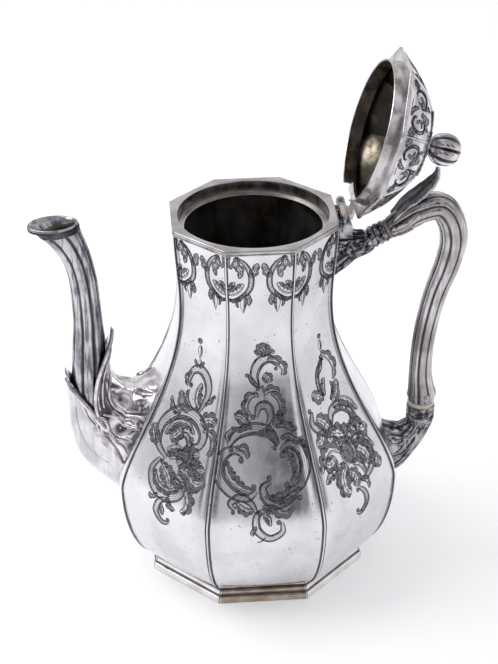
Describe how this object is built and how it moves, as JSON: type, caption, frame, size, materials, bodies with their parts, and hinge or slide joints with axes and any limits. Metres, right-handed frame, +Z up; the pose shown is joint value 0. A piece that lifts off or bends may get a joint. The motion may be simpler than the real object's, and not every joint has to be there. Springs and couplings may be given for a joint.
{
  "type": "coffee pot",
  "caption": "Octagonal pear-shaped silver coffee pot on a stepped foot, with a hinged domed lid and bud finial, a leaf-sheathed scroll spout and a scroll handle with ribbed joints.",
  "frame": {"origin": "centre of the foot on the table", "axes": "+Z up, spout towards -X, handle and hinge towards +X, flat panels facing the X and Y axes"},
  "size_m": [0.2316, 0.1544, 0.2921],
  "materials": {
    "polished_silver": "polished sheet silver plate with engraved scrolls and dark patina in the lines",
    "cast_silver": "cast silver plate, bright on the raised leaves and dark in the hollows",
    "worn_silver": "dulled silver plate with a warm tarnish",
    "insulator": "aged bone washers that keep heat out of the grip",
    "nickel_hardware": "turned nickel silver"
  },
  "bodies": {
    "pot": {"body_shell": "polished_silver", "base_plate": "worn_silver", "foot_ring": "worn_silver", "rim_moulding": "polished_silver", "lid_seat_collar": "worn_silver", "spout_tube": "cast_silver", "spout_lip": "cast_silver", "spout_sheath": "cast_silver", "upper_socket": "cast_silver", "upper_ferrule": "cast_silver", "upper_washer": "insulator", "upper_tenon": "nickel_hardware", "handle_grip": "cast_silver", "handle_leaf": "cast_silver", "lower_washer": "insulator", "lower_ferrule": "cast_silver", "lower_tenon": "nickel_hardware", "lower_socket": "cast_silver", "tenon_pins": "nickel_hardware", "hinge_bracket": "cast_silver", "hinge_pin": "nickel_hardware"},
    "lid": {"lid_hinge_strap": "cast_silver", "lid_dome": "polished_silver", "lid_edge_band": "polished_silver", "lid_flange": "worn_silver", "finial_rosette": "cast_silver", "finial_bud": "cast_silver", "finial_stud": "nickel_hardware", "finial_nut": "nickel_hardware"}
  },
  "joints": [
    {"name": "lid_hinge", "type": "hinge", "parent": "pot", "child": "lid", "pos_m": [0.0476, 0, 0.2078], "axis": [0, 1, 0], "range_deg": [-107.2, 0]}
  ]
}
